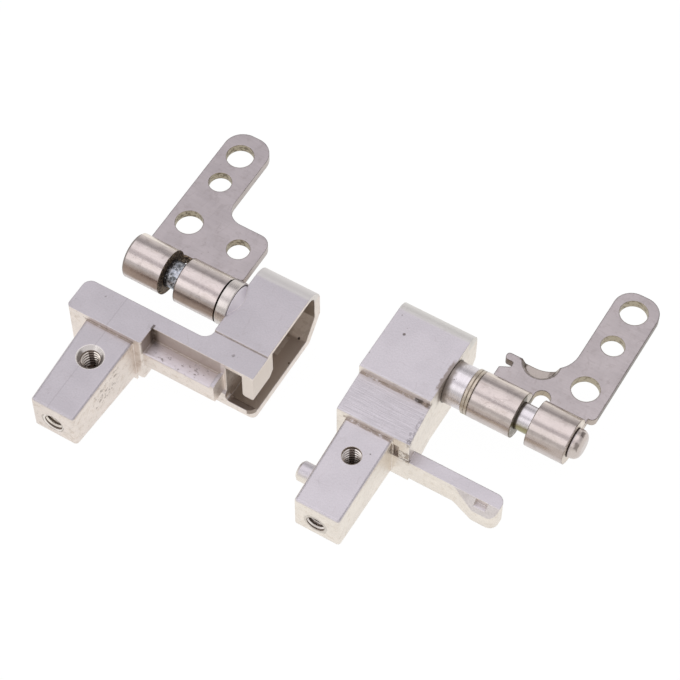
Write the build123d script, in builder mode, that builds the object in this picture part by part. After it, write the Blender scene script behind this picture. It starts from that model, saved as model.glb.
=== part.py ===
from build123d import *
import os

# A left and a right lid hinge lie open side by side. Each is a casting that holds a shaft,
# and a sheet leaf with two rolled barrels that turn on the shaft.
# X runs along the shafts, the leaves point to +Y, and Z is up from the table.

# Sizes that both hinges share
sheet = 1.0  # thickness of a leaf
journal_d = 3.0  # shaft where the barrels turn
turn_play = 0.03  # radial play of a barrel on the shaft
side_play = 0.05  # axial play at each end of the barrels
seat_play = 0.01  # radial play of a shaft's end in its casting
leaf_drop = 0.1  # upper face of a leaf below the shaft axis
seam = 0.12  # slit where the rolled sheet comes back to its leaf
root_bite = 0.6  # how far a leaf's flat reaches into its barrels' wall
large_hole_d = 3.0  # larger screw holes of the leaves
small_hole_d = 2.5  # smaller screw holes of the leaves
thread_core_d = 2.05  # core of the M2.5 threads in the castings
top_thread_depth = 3.6
end_thread_depth = 4.6
soft_edge = 0.25  # rounding of the castings' edges
post_edge = 0.35  # rounding of the posts' upper rims
crisp_edge = 0.1  # breaking of the turned pieces' edges
past = 1.0  # how far a cut runs past the face that it opens
near = 0.01  # how near to a level a face or an edge counts as lying on it

# Where each hinge stands: the foot of its shaft axis on the face that the shaft leaves
left_x = -11.76
left_y = -1.75
right_x = 11.4
right_y = 2.55

# Left shaft, collar and leaf
left_axis_z = 6.95
left_tang = 2.5  # shaft end inside the casting
tang_flat = 0.4  # height of the tang's flat above the axis
left_head_inset = 0.3  # peened end, inside the journal all round
left_head = 0.35
collar_rise = 0.05  # collar beyond the barrels all round
collar_length = 1.3
left_long = 4.95  # barrel beside the collar
left_gap = 1.85
left_end_break = 0.2  # bevel on the free end of the barrels
left_short = 4.55  # barrel at the free end
left_tip = 19.6  # shaft axis to the leaf's end
left_arm_inset = 0.25  # leaf's outer edge inside the end of its barrel
left_arm_width = 5.22
left_tip_round = 2.2
left_slot_end = 2.45  # shaft axis to the end of the slot between the barrels
left_crook = 2.0  # inside corner between arm and lobe
lobe_back = 8.95
lobe_front = 3.1
lobe_round = 1.35
lobe_overhang = 0.15  # lobe beyond the end of its barrel
left_hole_inset = 2.41  # leaf's outer edge to its row of holes
left_hole_1 = 16.58  # shaft axis to each hole of the row
left_hole_2 = 12.57
left_hole_3 = 6.44
lobe_hole_x = 3.73
lobe_hole_y = 6.15

# Left casting: a cup for the cable, a bar, a flange and a post
cup_length = 6.4
cup_top = 8.0
cup_back = 5.95
cup_round = 2.2
cup_bevel_y = 2.25
cup_bevel_z = 3.0
cup_block = 3.1  # solid end that holds the shaft
cup_wall = 1.05
cup_roof = 0.5
cup_floor = 1.0
cup_bevel_lift = 0.4  # inner bevel above the outer one
lip_front = 7.55
lip_height = 1.6
lip_wall = 0.8
lip_round = 0.8
lip_corner = 1.0  # rounding of the lip's open corner in plan
lip_gusset = 0.6  # rounding between the solid end and the lip
seat_inset = 0.23  # raised seat inside the barrels' outline, a cone that runs out on the cup's top
seat_length = 0.7
seat_taper = 60
cup_step = 4.2  # shaft axis to where the cup steps down to the bar
cup_step_depth = 0.25
bar_rear = 5.4
bar_front = 7.15
bar_bottom = 2.95
slot_round = 1.15
tongue_width = 1.35
tongue_rear = 3.4
tongue_bottom = 3.6
tongue_bevel = 1.0
tongue_round = 0.4
flange_start = 5.75
flange_width = 9.1
flange_front = 9.35
flange_round = 1.0
flange_foot_round = 1.2
shelf_top = 5.55
shelf_front = 9.15
shelf_end = 2.35
shelf_round = 0.5
shelf_rib = 0.45  # low rib that closes the shelf
shelf_rib_rise = 0.35
left_post_side = 6.73
left_post_root = 5.8
left_post_tip = 5.2
left_post_front = 20.2
left_post_top = 7.0
left_post_root_rise = 1.0
left_post_tip_rise = 2.35
left_top_thread_x = 9.53
left_top_thread_y = 12.97
left_sink_d = 2.9
left_end_thread_x = 9.35
left_end_thread_z = 4.5

# Right shaft, washers and leaf
right_axis_z = 5.5
right_tang = 5.0
shoulder_rise = 0.85  # shoulder beyond the journal all round
shoulder_length = 2.2
washer_inset = 0.03  # washers inside the barrels' outline all round
washer_thickness = 0.38
right_long = 4.9  # barrel beside the washers
right_gap = 1.75
right_short = 4.3  # barrel at the free end
right_head_rise = 0.12  # riveted head beyond the journal all round
right_head = 1.2
right_head_round = 0.85
right_tip = 19.4
right_arm_width = 5.05
right_tip_round = 2.1
right_slot_end = 3.9
right_crook = 3.3
heel_front = 3.2
heel_round = 0.65
strip_back = 6.15
strip_inset = 0.18  # leaf's end inside the end of its barrel
hook_notch_start = 4.1
hook_notch_rise = 0.55  # slope of the notch's side towards its inner end
hook_notch = 0.65
hook_notch_depth = 1.08
hook_round = 0.38
scoop_x = 3.75  # end of the long barrel to the scoop's centre
scoop_y = 6.7
scoop_d = 3.2  # across its floor
scoop_taper = 32
scoop_depth = 0.6
right_hole_inset = 2.6
right_hole_1 = 17.0
right_hole_2 = 12.27
right_hole_3 = 6.21

# Right casting: a block, a step, a post with a peg, and an arm
block_length = 8.33
block_top = 8.0
block_back = 5.2
block_front = 4.6
block_round = 1.7
block_bevel_y = 2.2
block_bevel_z = 3.0
step_length = 8.2
step_front = 9.6
step_top = 7.0
step_flare = 0.45
step_lean = 0.2
right_post_root_side = 1.47
right_post_root = 5.5
right_post_tip_side = 1.25
right_post_tip = 5.27
right_post_front = 20.4
right_post_top = 6.2
right_post_root_rise = 0.6
right_post_tip_rise = 1.65
right_top_thread_x = 4.13
right_top_thread_y = 13.15
right_end_thread_x = 4.0
right_end_thread_z = 3.5
peg_d = 2.2
peg_y = 16.05
peg_z = 3.9
peg_reach = 8.45
arm_reach = 10.95
arm_rear = 8.15
arm_front = 9.65
arm_bottom = 0.6
arm_top = 3.65
arm_end_round = 1.0
hammer_front = 10.6
hammer_start = 8.3
hammer_flare = 2.6
hammer_slope = 1.2
hammer_notch = 1.35
hammer_notch_depth = 0.75
recess_side = 0.8
recess_width = 0.55
recess_height = 2.0
recess_depth = 0.4

# Sizes that follow from the ones above
bore_r = journal_d / 2 + turn_play
barrel_r = bore_r + sheet
seat_r = journal_d / 2 + seat_play
leaf_root = barrel_r - root_bite
bar_top = cup_top - cup_step_depth

left_long_end = -collar_length - side_play
left_long_start = left_long_end - left_long
left_short_end = left_long_start - left_gap
left_short_start = left_short_end - left_short
left_arm_start = left_short_start + left_arm_inset
left_arm_side = left_arm_start + left_arm_width
left_hole_x = left_arm_start + left_hole_inset
left_post_outer = -left_post_side - left_post_root
right_post_outer = -right_post_root_side - right_post_root

right_long_start = shoulder_length + 2 * washer_thickness + side_play
right_long_end = right_long_start + right_long
right_short_start = right_long_end + right_gap
right_short_end = right_short_start + right_short
right_strip_start = right_long_start + strip_inset
right_arm_side = right_short_start + right_arm_width
right_hole_x = right_arm_side - right_hole_inset
hook_start = hook_notch_start + hook_notch_rise + hook_notch

left_plan = Plane((left_x, left_y, 0))
left_side = Plane((left_x, left_y, 0), x_dir=(0, 1, 0), z_dir=(1, 0, 0))
left_axis = Plane((left_x, left_y, left_axis_z), x_dir=(0, 1, 0), z_dir=(1, 0, 0))
left_turning = Plane((left_x, left_y, left_axis_z), x_dir=(1, 0, 0), z_dir=(0, -1, 0))
right_plan = Plane((right_x, right_y, 0))
right_side = Plane((right_x, right_y, 0), x_dir=(0, 1, 0), z_dir=(1, 0, 0))
right_axis = Plane((right_x, right_y, right_axis_z), x_dir=(0, 1, 0), z_dir=(1, 0, 0))
right_turning = Plane((right_x, right_y, right_axis_z), x_dir=(1, 0, 0), z_dir=(0, -1, 0))

with BuildPart() as left_base:
    # Cup, with its solid end beside the collar
    with BuildSketch(left_side):
        with BuildLine():
            FilletPolyline(
                (-lip_front, 0),
                (cup_back - cup_bevel_y, 0),
                (cup_back, cup_bevel_z),
                (cup_back, cup_top),
                (-cup_step, cup_top),
                (-cup_step, bar_top),
                (-bar_front, bar_top),
                (-bar_front, bar_bottom),
                (-lip_front, bar_bottom - lip_front + bar_front),
                radius=(
                    lip_round,
                    soft_edge,
                    soft_edge,
                    cup_round,
                    crisp_edge,
                    crisp_edge,
                    0,
                    soft_edge,
                    soft_edge,
                ),
                close=True,
            )
        make_face()
    extrude(amount=cup_length)
    # Hollow of the cup, open to its end and to the front above the lip
    with BuildSketch(left_side.offset(cup_block)):
        with BuildLine():
            FilletPolyline(
                (-lip_front - past, lip_height),
                (lip_wall - lip_front, lip_height),
                (lip_wall - lip_front, cup_floor),
                (
                    cup_back - cup_wall
                    - (cup_bevel_z + cup_bevel_lift - cup_floor) * cup_bevel_y / cup_bevel_z,
                    cup_floor,
                ),
                (cup_back - cup_wall, cup_bevel_z + cup_bevel_lift),
                (cup_back - cup_wall, cup_top - cup_roof),
                (-cup_step, cup_top - cup_roof),
                (-cup_step, bar_top - cup_roof),
                (-lip_front - past, bar_top - cup_roof),
                radius=(0, soft_edge, soft_edge, soft_edge, soft_edge, cup_round - cup_wall, 0, 0, 0),
                close=True,
            )
        make_face()
    extrude(amount=cup_length - cup_block, mode=Mode.SUBTRACT)
    # Lip's open corner, rounded in plan
    with BuildSketch(left_plan):
        with Locations((cup_length - lip_corner, lip_corner - lip_front)):
            Rectangle(lip_corner + past, lip_corner + past, align=(Align.MIN, Align.MAX))
            Circle(lip_corner, mode=Mode.SUBTRACT)
    extrude(amount=(lip_height + tongue_bottom) / 2, mode=Mode.SUBTRACT)
    # Rounded corner between the solid end and the lip
    with BuildSketch(Plane((left_x, left_y - lip_front, lip_height), x_dir=(1, 0, 0), z_dir=(0, -1, 0))):
        with Locations((cup_block, 0)):
            Rectangle(lip_gusset, lip_gusset, align=(Align.MIN, Align.MIN))
        with Locations((cup_block + lip_gusset, lip_gusset)):
            Circle(lip_gusset, mode=Mode.SUBTRACT)
    extrude(amount=-lip_wall)
    # Tongue under the bar at the cup's open end
    with BuildSketch(Plane((left_x, left_y - tongue_rear, 0), x_dir=(1, 0, 0), z_dir=(0, -1, 0))):
        with BuildLine():
            FilletPolyline(
                (cup_length - tongue_width, bar_top),
                (cup_length - tongue_width, tongue_bottom),
                (cup_length, tongue_bottom),
                (cup_length, bar_top),
                radius=(0, tongue_round, tongue_round, 0),
                close=True,
            )
        make_face()
    extrude(amount=bar_front - tongue_rear)
    with BuildSketch(left_side.offset(cup_length - tongue_width - past)):
        with BuildLine():
            Polyline(
                (past - tongue_rear, tongue_bottom - past),
                (past - tongue_rear, tongue_bottom + tongue_bevel),
                (-tongue_rear, tongue_bottom + tongue_bevel),
                (-tongue_rear - tongue_bevel, tongue_bottom),
                (-tongue_rear - tongue_bevel, tongue_bottom - past),
                close=True,
            )
        make_face()
    extrude(amount=tongue_width + 2 * past, mode=Mode.SUBTRACT)
    # Bar, with a rounded corner where its slot ends at the cup
    with BuildSketch(left_plan.offset(bar_bottom)):
        with BuildLine():
            FilletPolyline(
                (-flange_start - soft_edge, -bar_front),
                (cup_block / 2, -bar_front),
                (cup_block / 2, -bar_rear + 2 * slot_round),
                (0, -bar_rear + 2 * slot_round),
                (0, -bar_rear),
                (-flange_start - soft_edge, -bar_rear),
                radius=(0, 0, 0, 0, slot_round, 0),
                close=True,
            )
        make_face()
    extrude(amount=bar_top - bar_bottom)
    # Flange at the bar's end, with a rounded foot
    with BuildSketch(left_plan):
        with BuildLine():
            FilletPolyline(
                (-flange_start - flange_width, -bar_rear),
                (-flange_start, -bar_rear),
                (-flange_start, -flange_front),
                (-flange_start - flange_width, -flange_front),
                radius=(flange_round, 0, soft_edge, 2 * soft_edge),
                close=True,
            )
        make_face()
    extrude(amount=bar_top)
    fillet(
        left_base.edges()
        .filter_by(Axis.Y)
        .filter_by_position(Axis.Z, -near, near)
        .filter_by_position(Axis.X, left_x - flange_start - near, left_x - flange_start + near),
        flange_foot_round,
    )
    # Shelf in front of the bar, closed by a low rib
    with BuildSketch(left_side.offset(-flange_start - soft_edge)):
        with BuildLine():
            FilletPolyline(
                (-bar_front + soft_edge, shelf_top),
                (-shelf_front, shelf_top),
                (-shelf_front, bar_bottom),
                (-bar_front + soft_edge, bar_bottom),
                radius=(0, soft_edge, shelf_round, 0),
                close=True,
            )
        make_face()
    extrude(amount=flange_start + soft_edge + shelf_end)
    with BuildSketch(left_side.offset(shelf_end)):
        with BuildLine():
            FilletPolyline(
                (-bar_front + soft_edge, shelf_top + shelf_rib_rise),
                (-shelf_front, shelf_top + shelf_rib_rise),
                (-shelf_front, bar_bottom),
                (-bar_front + soft_edge, bar_bottom),
                radius=(0, 2 * soft_edge, shelf_round, 0),
                close=True,
            )
        make_face()
    extrude(amount=shelf_rib)
    # Post, with a sloping underside
    with BuildSketch(left_plan):
        with BuildLine():
            FilletPolyline(
                (left_post_outer, -flange_front + soft_edge),
                (-left_post_side, -flange_front + soft_edge),
                (-left_post_side, -left_post_front),
                (-left_post_side - left_post_tip, -left_post_front),
                radius=(0, 0, post_edge + near, post_edge + near),
                close=True,
            )
        make_face()
    extrude(amount=left_post_top)
    with BuildSketch(left_side.offset(left_post_outer - past)):
        with BuildLine():
            Polyline(
                (-flange_front, -past),
                (-flange_front, left_post_root_rise),
                (-left_post_front, left_post_tip_rise),
                (-left_post_front - past, left_post_tip_rise),
                (-left_post_front - past, -past),
                close=True,
            )
        make_face()
    extrude(amount=left_post_root + 2 * past, mode=Mode.SUBTRACT)
    # Soft rim of the post
    post_face = left_base.faces().filter_by_position(Axis.Z, left_post_top - near, left_post_top + near)
    fillet(post_face.edges().sort_by(Axis.Y)[:-1], post_edge)
    # Raised seat and D-shaped socket of the shaft
    with BuildSketch(left_axis):
        Circle(barrel_r - seat_inset)
    extrude(amount=seat_length, taper=seat_taper)
    with BuildSketch(left_axis):
        Circle(seat_r)
        with Locations((0, tang_flat + seat_play + seat_r)):
            Rectangle(2 * seat_r, 2 * seat_r, mode=Mode.SUBTRACT)
    extrude(amount=left_tang + seat_play, mode=Mode.SUBTRACT)
    # Threaded holes of the post
    with Locations((left_x - left_top_thread_x, left_y - left_top_thread_y, left_post_top)):
        CounterSinkHole(thread_core_d / 2, left_sink_d / 2, top_thread_depth, 90)
    with Locations(
        Plane(
            (left_x - left_end_thread_x, left_y - left_post_front, left_end_thread_z),
            x_dir=(1, 0, 0),
            z_dir=(0, -1, 0),
        )
    ):
        Hole(thread_core_d / 2, end_thread_depth)
left_base.part.label = "left_base"

with BuildPart() as left_shaft:
    with BuildSketch(left_turning):
        with BuildLine():
            FilletPolyline(
                (0, 0),
                (0, journal_d / 2),
                (left_short_start - side_play, journal_d / 2),
                (left_short_start - side_play, journal_d / 2 - left_head_inset),
                (left_short_start - side_play - left_head, journal_d / 2 - left_head_inset),
                (left_short_start - side_play - left_head, 0),
                radius=(0, 0, 0, 0, left_head / 2, 0),
                close=True,
            )
        make_face()
    revolve(axis=Axis((left_x, left_y, left_axis_z), (1, 0, 0)))
    with BuildSketch(left_axis):
        Circle(journal_d / 2)
        with Locations((0, tang_flat + journal_d / 2)):
            Rectangle(journal_d, journal_d, mode=Mode.SUBTRACT)
    extrude(amount=left_tang)
left_shaft.part.label = "left_shaft"

with BuildPart() as left_collar:
    with BuildSketch(left_axis.offset(-collar_length)):
        Circle(barrel_r + collar_rise)
        Circle(bore_r, mode=Mode.SUBTRACT)
    extrude(amount=collar_length)
    chamfer(left_collar.edges().filter_by(GeomType.CIRCLE).sort_by(SortBy.RADIUS)[-2:], crisp_edge)
left_collar.part.label = "left_collar"

with BuildPart() as left_leaf:
    with BuildSketch(left_plan.offset(left_axis_z - leaf_drop - sheet)):
        with BuildLine():
            FilletPolyline(
                (left_arm_start, leaf_root),
                (left_arm_start, left_tip),
                (left_arm_side, left_tip),
                (left_arm_side, lobe_back),
                (left_long_end + lobe_overhang, lobe_back),
                (left_long_end + lobe_overhang, lobe_front),
                (left_long_end, lobe_front),
                (left_long_end, leaf_root),
                (left_long_start, leaf_root),
                (left_long_start, left_slot_end),
                (left_short_end, left_slot_end),
                (left_short_end, leaf_root),
                radius=(
                    0,
                    left_tip_round,
                    left_tip_round,
                    left_crook,
                    lobe_round,
                    0,
                    0,
                    0,
                    0,
                    left_gap / 4,
                    left_gap / 4,
                    0,
                ),
                close=True,
            )
        make_face()
        with Locations((left_hole_x, left_hole_1), (left_hole_x, left_hole_3)):
            Circle(large_hole_d / 2, mode=Mode.SUBTRACT)
        with Locations((left_hole_x, left_hole_2), (-lobe_hole_x, lobe_hole_y)):
            Circle(small_hole_d / 2, mode=Mode.SUBTRACT)
    extrude(amount=sheet)
    for start, length in ((left_short_start, left_short), (left_long_start, left_long)):
        with BuildSketch(left_axis.offset(start)):
            Circle(barrel_r)
            Circle(bore_r, mode=Mode.SUBTRACT)
        extrude(amount=length)
    with BuildSketch(left_axis.offset(left_short_start)):
        with Locations((barrel_r, seam / 2 - leaf_drop)):
            Rectangle(2 * sheet + turn_play, seam, align=(Align.CENTER, Align.CENTER))
    extrude(amount=left_long_end - left_short_start, mode=Mode.SUBTRACT)
    free_end = left_leaf.edges().filter_by(GeomType.CIRCLE).group_by(Axis.X)[0]
    chamfer(free_end.sort_by(SortBy.RADIUS)[-1], left_end_break)
left_leaf.part.label = "left_leaf"

with BuildPart() as right_base:
    # Block that holds the shaft
    with BuildSketch(right_side.offset(-block_length)):
        with BuildLine():
            FilletPolyline(
                (-block_front, 0),
                (block_back - block_bevel_y, 0),
                (block_back, block_bevel_z),
                (block_back, block_top),
                (-block_front, block_top),
                radius=(0, soft_edge, soft_edge, block_round, soft_edge),
                close=True,
            )
        make_face()
    extrude(amount=block_length)
    # Step in front of the block, a little wider at its front
    with BuildSketch(right_plan):
        with BuildLine():
            Polyline(
                (-step_length, -block_front + soft_edge),
                (0, -block_front + soft_edge),
                (step_flare, -step_front),
                (step_lean - step_length, -step_front),
                close=True,
            )
        make_face()
    extrude(amount=step_top)
    # Post, with a sloping underside
    with BuildSketch(right_plan):
        with BuildLine():
            FilletPolyline(
                (right_post_outer, -step_front + soft_edge),
                (-right_post_root_side, -step_front + soft_edge),
                (-right_post_tip_side, -right_post_front),
                (-right_post_tip_side - right_post_tip, -right_post_front),
                radius=(0, 0, post_edge + near, post_edge + near),
                close=True,
            )
        make_face()
    extrude(amount=right_post_top)
    with BuildSketch(right_side.offset(right_post_outer - past)):
        with BuildLine():
            Polyline(
                (-step_front, -past),
                (-step_front, right_post_root_rise),
                (-right_post_front, right_post_tip_rise),
                (-right_post_front - past, right_post_tip_rise),
                (-right_post_front - past, -past),
                close=True,
            )
        make_face()
    extrude(amount=past - right_post_outer, mode=Mode.SUBTRACT)
    # Soft rims of the post and the step's front
    post_face = right_base.faces().filter_by_position(Axis.Z, right_post_top - near, right_post_top + near)
    fillet(post_face.edges().sort_by(Axis.Y)[:-1], post_edge)
    step_rim = right_base.faces().filter_by_position(Axis.Z, step_top - near, step_top + near).edges()
    fillet(step_rim.sort_by(Axis.Y)[0], soft_edge)
    # Peg on the post's side
    with BuildSketch(Plane((right_x - peg_reach, right_y - peg_y, peg_z), x_dir=(0, 1, 0), z_dir=(1, 0, 0))):
        Circle(peg_d / 2)
    extrude(amount=peg_reach - right_post_root_side - right_post_root / 2)
    chamfer(right_base.edges().filter_by(GeomType.CIRCLE).sort_by(Axis.X)[0], soft_edge)
    # Arm with a hammer-shaped end
    with BuildSketch(right_plan.offset(arm_bottom)):
        with BuildLine():
            FilletPolyline(
                (-right_post_root_side, -arm_rear),
                (arm_reach, -arm_rear),
                (arm_reach, -hammer_front),
                (hammer_start, -hammer_front),
                (hammer_start - hammer_flare, -arm_front),
                (-right_post_root_side, -arm_front),
                radius=(0, arm_end_round, arm_end_round, 2 * soft_edge, arm_end_round, 0),
                close=True,
            )
        make_face()
    extrude(amount=arm_top - arm_bottom)
    with BuildSketch(right_side.offset(hammer_start - 2 * hammer_flare)):
        with BuildLine():
            Polyline(
                (-arm_front, arm_top),
                (-hammer_front, arm_top - hammer_slope),
                (-hammer_front - past, arm_top - hammer_slope),
                (-hammer_front - past, arm_top + past),
                (-arm_front, arm_top + past),
                close=True,
            )
        make_face()
    extrude(amount=arm_reach, mode=Mode.SUBTRACT)
    with BuildSketch(right_plan.offset(arm_top - hammer_notch_depth)):
        with Locations((hammer_start, -arm_front)):
            Rectangle(hammer_notch, hammer_front - arm_front + past, align=(Align.MIN, Align.MAX))
    extrude(amount=hammer_notch_depth + past, mode=Mode.SUBTRACT)
    # Small recess in the step's front, above the arm's root
    with BuildSketch(right_plan.offset(arm_top)):
        with Locations((-recess_side, recess_depth - step_front)):
            Rectangle(recess_width, recess_depth + past, align=(Align.MAX, Align.MAX))
    extrude(amount=recess_height, mode=Mode.SUBTRACT)
    # Socket of the shaft
    with BuildSketch(right_axis):
        Circle(seat_r)
    extrude(amount=-right_tang - seat_play, mode=Mode.SUBTRACT)
    # Threaded holes of the post
    with Locations((right_x - right_top_thread_x, right_y - right_top_thread_y, right_post_top)):
        Hole(thread_core_d / 2, top_thread_depth)
    with Locations(
        Plane(
            (right_x - right_end_thread_x, right_y - right_post_front, right_end_thread_z),
            x_dir=(1, 0, 0),
            z_dir=(0, -1, 0),
        )
    ):
        Hole(thread_core_d / 2, end_thread_depth)
right_base.part.label = "right_base"

with BuildPart() as right_shaft:
    with BuildSketch(right_turning):
        with BuildLine():
            FilletPolyline(
                (-right_tang, 0),
                (-right_tang, journal_d / 2),
                (0, journal_d / 2),
                (0, journal_d / 2 + shoulder_rise),
                (shoulder_length, journal_d / 2 + shoulder_rise),
                (shoulder_length, journal_d / 2),
                (right_short_end + side_play, journal_d / 2),
                (right_short_end + side_play, journal_d / 2 + right_head_rise),
                (right_short_end + side_play + right_head, journal_d / 2 + right_head_rise),
                (right_short_end + side_play + right_head, 0),
                radius=(0, soft_edge, 0, 0, crisp_edge, 0, 0, crisp_edge, right_head_round, 0),
                close=True,
            )
        make_face()
    revolve(axis=Axis((right_x, right_y, right_axis_z), (1, 0, 0)))
right_shaft.part.label = "right_shaft"

with BuildPart() as right_inner_washer:
    with BuildSketch(right_axis.offset(shoulder_length)):
        Circle(barrel_r - washer_inset)
        Circle(bore_r, mode=Mode.SUBTRACT)
    extrude(amount=washer_thickness)
    washer_rims = right_inner_washer.edges().filter_by(GeomType.CIRCLE).sort_by(SortBy.RADIUS)[-2:]
    chamfer(washer_rims, washer_thickness / 6)
right_inner_washer.part.label = "right_inner_washer"

with BuildPart() as right_outer_washer:
    with BuildSketch(right_axis.offset(shoulder_length + washer_thickness)):
        Circle(barrel_r - washer_inset)
        Circle(bore_r, mode=Mode.SUBTRACT)
    extrude(amount=washer_thickness)
    washer_rims = right_outer_washer.edges().filter_by(GeomType.CIRCLE).sort_by(SortBy.RADIUS)[-2:]
    chamfer(washer_rims, washer_thickness / 6)
right_outer_washer.part.label = "right_outer_washer"

with BuildPart() as right_leaf:
    with BuildSketch(right_plan.offset(right_axis_z - leaf_drop - sheet)):
        with BuildLine():
            FilletPolyline(
                (right_strip_start, leaf_root),
                (right_strip_start, hook_notch_start),
                (right_strip_start + hook_notch_depth, hook_notch_start + hook_notch_rise),
                (right_strip_start + hook_notch_depth, hook_start),
                (right_strip_start, hook_start),
                (right_strip_start, strip_back),
                (right_short_start, strip_back),
                (right_short_start, right_tip),
                (right_arm_side, right_tip),
                (right_arm_side, heel_front),
                (right_short_end, heel_front),
                (right_short_end, leaf_root),
                (right_short_start, leaf_root),
                (right_short_start, right_slot_end),
                (right_long_end, right_slot_end),
                (right_long_end, leaf_root),
                radius=(
                    0,
                    hook_round / 2,
                    hook_round / 2,
                    hook_round / 2,
                    hook_round,
                    hook_round,
                    right_crook,
                    right_tip_round,
                    right_tip_round,
                    heel_round,
                    0,
                    0,
                    0,
                    0.49 * right_gap,
                    0.49 * right_gap,
                    0,
                ),
                close=True,
            )
        make_face()
        with Locations((right_hole_x, right_hole_1), (right_hole_x, right_hole_3)):
            Circle(large_hole_d / 2, mode=Mode.SUBTRACT)
        with Locations((right_hole_x, right_hole_2)):
            Circle(small_hole_d / 2, mode=Mode.SUBTRACT)
    extrude(amount=sheet)
    # Half-depth scoop at the strip's rear edge
    with BuildSketch(right_plan.offset(right_axis_z - leaf_drop - scoop_depth)):
        with Locations((right_long_start + scoop_x, scoop_y)):
            Circle(scoop_d / 2)
    extrude(amount=scoop_depth, taper=-scoop_taper, mode=Mode.SUBTRACT)
    for start, length in ((right_long_start, right_long), (right_short_start, right_short)):
        with BuildSketch(right_axis.offset(start)):
            Circle(barrel_r)
            Circle(bore_r, mode=Mode.SUBTRACT)
        extrude(amount=length)
    with BuildSketch(right_axis.offset(right_long_start)):
        with Locations((barrel_r, seam / 2 - leaf_drop)):
            Rectangle(2 * sheet + turn_play, seam, align=(Align.CENTER, Align.CENTER))
    extrude(amount=right_short_end - right_long_start, mode=Mode.SUBTRACT)
right_leaf.part.label = "right_leaf"

os.makedirs("parts", exist_ok=True)
for piece in (
    left_base,
    left_shaft,
    left_collar,
    left_leaf,
    right_base,
    right_shaft,
    right_inner_washer,
    right_outer_washer,
    right_leaf,
):
    export_step(piece.part, f"parts/{piece.part.label}.step")
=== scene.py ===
"""Looks of a laptop hinge pair: two zinc castings with their shafts, washers and rolled sheet leaves.

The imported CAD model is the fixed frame. The script dresses its nodes, puts threads in the tapped holes
and sets up a plain white studio. Sizes are in millimetres and turn into metres where meshes are made.
"""

import logging
import math
from dataclasses import dataclass
from enum import Enum

import bmesh
import bpy
from mathutils import Matrix, Vector


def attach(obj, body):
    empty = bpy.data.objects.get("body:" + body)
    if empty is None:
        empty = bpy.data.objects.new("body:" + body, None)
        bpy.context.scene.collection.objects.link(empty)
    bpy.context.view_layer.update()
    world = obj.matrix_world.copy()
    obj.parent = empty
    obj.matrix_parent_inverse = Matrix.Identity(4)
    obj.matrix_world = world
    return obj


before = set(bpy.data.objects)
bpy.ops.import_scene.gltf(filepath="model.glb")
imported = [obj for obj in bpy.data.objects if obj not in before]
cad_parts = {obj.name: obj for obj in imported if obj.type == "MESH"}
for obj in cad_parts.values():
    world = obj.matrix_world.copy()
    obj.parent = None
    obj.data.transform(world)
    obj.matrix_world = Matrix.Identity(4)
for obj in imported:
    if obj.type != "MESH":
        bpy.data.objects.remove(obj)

LOG = logging.getLogger("hinge_pair")
MM = 0.001
Triple = tuple[float, float, float]
Socket = bpy.types.NodeSocket
Sockets = dict[str, Socket]
Feed = float | tuple | Vector | Socket
Stops = tuple[tuple[float, float], ...]


class Body(Enum):
    """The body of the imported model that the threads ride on."""

    BASES = "bases"


class Way(Enum):
    """Directions along which a bore or a ring lies."""

    ACROSS = (1.0, 0.0, 0.0)
    FRONT = (0.0, -1.0, 0.0)
    UP = (0.0, 0.0, 1.0)


class Effect(Enum):
    """Shader node groups that several finishes share."""

    PATCH = "patch"
    RING = "ring"
    EDGE = "edge_tint_wear_and_shade"
    SPECKS = "specks"
    LINES = "fine_lines"
    HAIRS = "hairlines"
    CLOUDS = "clouds"


def paint(code: str) -> tuple[float, float, float, float]:
    """Turn a hex colour into a linear one.

    Args:
        code: Six hex digits, as the colour is seen.

    Returns:
        The linear colour with full alpha.
    """
    parts = [int(code[i:i + 2], 16) / 255 for i in (0, 2, 4)]
    line = [p / 12.92 if p <= 0.04045 else ((p + 0.055) / 1.055) ** 2.4 for p in parts]
    return (line[0], line[1], line[2], 1.0)


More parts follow.
